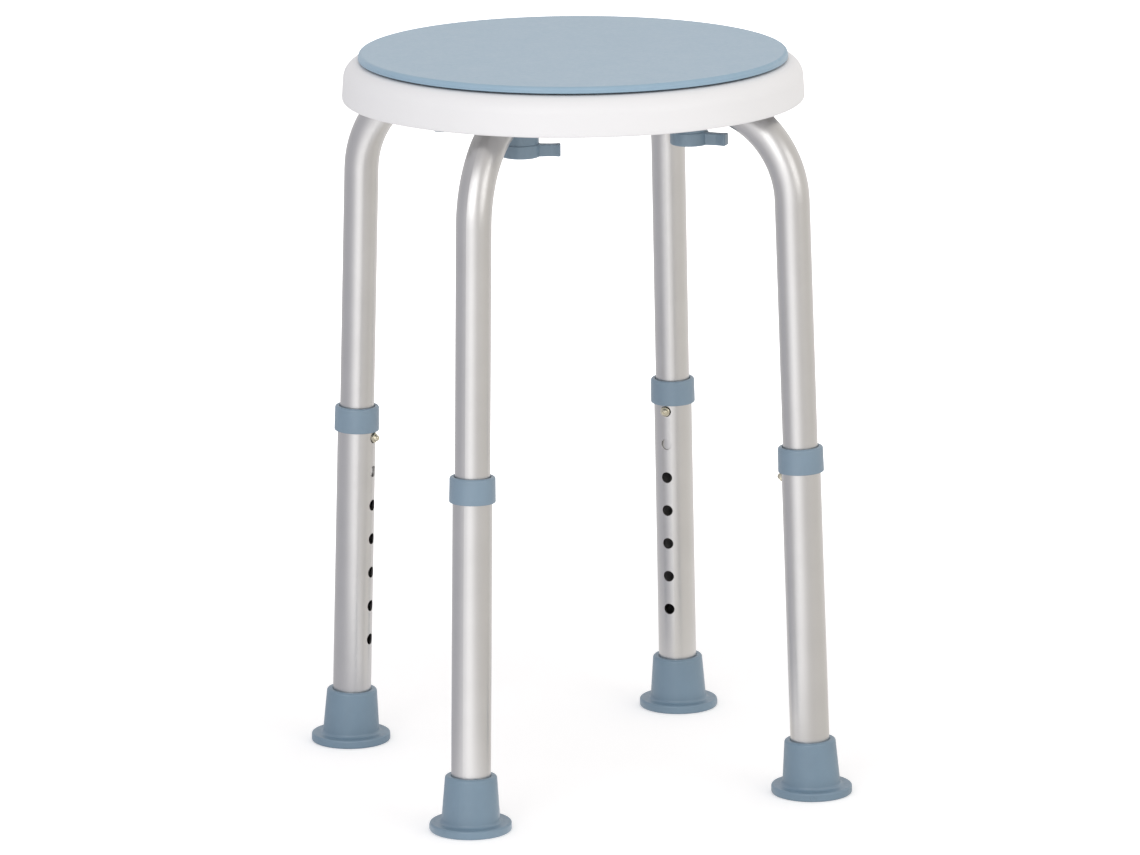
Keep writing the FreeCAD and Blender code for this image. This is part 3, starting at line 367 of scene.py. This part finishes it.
def studio_light(tree, way):
    """The studio's colour in a direction: the two side walls, one into the other, and the glows."""
    nodes, links = tree.nodes, tree.links

    def facing(direction):
        node = nodes.new("ShaderNodeVectorMath")
        node.operation = "DOT_PRODUCT"
        node.inputs[1].default_value = direction
        links.new(way, node.inputs[0])
        return node.outputs["Value"]

    def math_node(operation, value, number):
        node = nodes.new("ShaderNodeMath")
        node.operation = operation
        node.inputs[1].default_value = number
        links.new(value, node.inputs[0])
        return node.outputs[0]

    across = nodes.new("ShaderNodeMapRange")
    across.inputs["From Min"].default_value = -1
    links.new(facing(level_way(90)), across.inputs["Value"])
    walls = nodes.new("ShaderNodeMix")
    walls.data_type = "RGBA"
    walls.inputs[MIX_FIRST].default_value = (*LEFT_WALL, 1)
    walls.inputs[MIX_SECOND].default_value = (*RIGHT_WALL, 1)
    links.new(across.outputs["Result"], walls.inputs[MIX_SHARE])
    total = walls.outputs[MIX_RESULT]
    for azimuth, narrow, strength in GLOWS:
        towards = math_node("MAXIMUM", facing(level_way(azimuth)), 0)
        glow = math_node("MULTIPLY", math_node("POWER", towards, narrow), strength)
        joined = nodes.new("ShaderNodeVectorMath")
        joined.operation = "ADD"
        links.new(total, joined.inputs[0])
        links.new(glow, joined.inputs[1])
        total = joined.outputs["Vector"]
    return total


def seen_directly(tree):
    """1 for rays that come from the camera, also through glass, and 0 for all others."""
    path = tree.nodes.new("ShaderNodeLightPath")
    either = tree.nodes.new("ShaderNodeMath")
    either.operation = "MAXIMUM"
    tree.links.new(path.outputs["Is Camera Ray"], either.inputs[0])
    tree.links.new(path.outputs["Is Transmission Ray"], either.inputs[1])
    return either.outputs[0]


def mixed(tree, share, first, second):
    """One shader at a share of 0 and the other at 1."""
    mix = tree.nodes.new("ShaderNodeMixShader")
    tree.links.new(share, mix.inputs[0])
    tree.links.new(first, mix.inputs[1])
    tree.links.new(second, mix.inputs[2])
    return mix.outputs[0]


def floor():
    """A pale floor.  The camera sees it fade into a white ground away from the stool, metal sees the studio
    in it, and from below it can be looked through."""
    bpy.ops.mesh.primitive_circle_add(vertices=128, radius=FLOOR_RADIUS, fill_type="NGON",
                                      location=(0, 0, CAD_LOW.z))
    ground = bpy.context.object
    ground.name = "floor"
    shader = Shader("floor_white", linear(242, 242, 242), 0.9, specular=0.1)
    tree = shader.tree
    place = tree.nodes.new("ShaderNodeNewGeometry")
    way = tree.nodes.new("ShaderNodeVectorMath")
    way.operation = "NORMALIZE"
    tree.links.new(place.outputs["Position"], way.inputs[0])
    out = tree.nodes.new("ShaderNodeVectorMath")
    out.operation = "LENGTH"
    tree.links.new(place.outputs["Position"], out.inputs[0])
    lift = tree.nodes.new("ShaderNodeMapRange")
    for socket, number in zip(("From Min", "From Max", "To Min", "To Max"), FLOOR_SHADE + FLOOR_LIFT):
        shader.set(lift, socket, number)
    shader.link(out.outputs["Value"], lift, "Value")
    strength = tree.nodes.new("ShaderNodeMath")
    strength.operation = "MULTIPLY"
    tree.links.new(lift.outputs["Result"], strength.inputs[0])
    tree.links.new(seen_directly(tree), strength.inputs[1])
    shader.set(shader.surface, "Emission Color", (1, 1, 1, 1))
    shader.link(strength.outputs[0], shader.surface, "Emission Strength")

    studio = tree.nodes.new("ShaderNodeEmission")
    shader.link(studio_light(tree, way.outputs["Vector"]), studio, "Color")
    path = tree.nodes.new("ShaderNodeLightPath")
    above = mixed(tree, path.outputs["Is Glossy Ray"], shader.surface.outputs[0], studio.outputs[0])
    clear = tree.nodes.new("ShaderNodeBsdfTransparent")
    whole = mixed(tree, place.outputs["Backfacing"], above, clear.outputs[0])
    tree.links.new(whole, tree.nodes["Material Output"].inputs["Surface"])
    ground.data.materials.append(shader.material)


def world():
    """A soft studio all round, which the camera sees as plain white."""
    sky = bpy.data.worlds.new("studio")
    sky.use_nodes = True
    bpy.context.scene.world = sky
    tree = sky.node_tree
    light = tree.nodes["Background"]
    way = tree.nodes.new("ShaderNodeTexCoord").outputs["Generated"]
    tree.links.new(studio_light(tree, way), light.inputs["Color"])
    white = tree.nodes.new("ShaderNodeBackground")
    white.inputs["Color"].default_value = (1, 1, 1, 1)
    both = mixed(tree, seen_directly(tree), light.outputs[0], white.outputs[0])
    tree.links.new(both, tree.nodes["World Output"].inputs["Surface"])


def lamp(name, azimuth, elevation, distance, size, power):
    """A soft square lamp about the stool: azimuth 0 is at the camera and positive is to its right."""
    data = bpy.data.lights.new(name, "AREA")
    data.shape = "SQUARE"
    data.size = size
    data.energy = power
    item = bpy.data.objects.new(name, data)
    rise = math.radians(elevation)
    way = level_way(azimuth) * math.cos(rise) + Vector((0, 0, math.sin(rise)))
    item.location = (CAD_LOW + CAD_HIGH) / 2 + way * distance
    item.rotation_euler = (-way).to_track_quat("-Z", "Y").to_euler()
    bpy.context.scene.collection.objects.link(item)


def camera():
    """The camera that the stool is seen by, from a little above the seat."""
    data = bpy.data.cameras.new("camera")
    data.lens = LENS
    data.sensor_width = SENSOR
    data.clip_end = CAMERA_CLIP
    item = bpy.data.objects.new("camera", data)
    item.location = level_way(0) * CAMERA_DISTANCE + Vector((0, 0, CAMERA_HEIGHT))
    aim = (Vector(CAMERA_AIM) - item.location).to_track_quat("-Z", "Y")
    roll = Matrix.Rotation(math.radians(CAMERA_ROLL), 3, "Z").to_quaternion()
    item.rotation_euler = (aim @ roll).to_euler()
    bpy.context.scene.collection.objects.link(item)
    bpy.context.scene.camera = item


dress_nodes()
disc_lip()
gate_marks()
leaf_springs()
floor()
world()
for settings in LAMPS:
    lamp(*settings)
camera()
bpy.context.scene.view_settings.view_transform = "Standard"
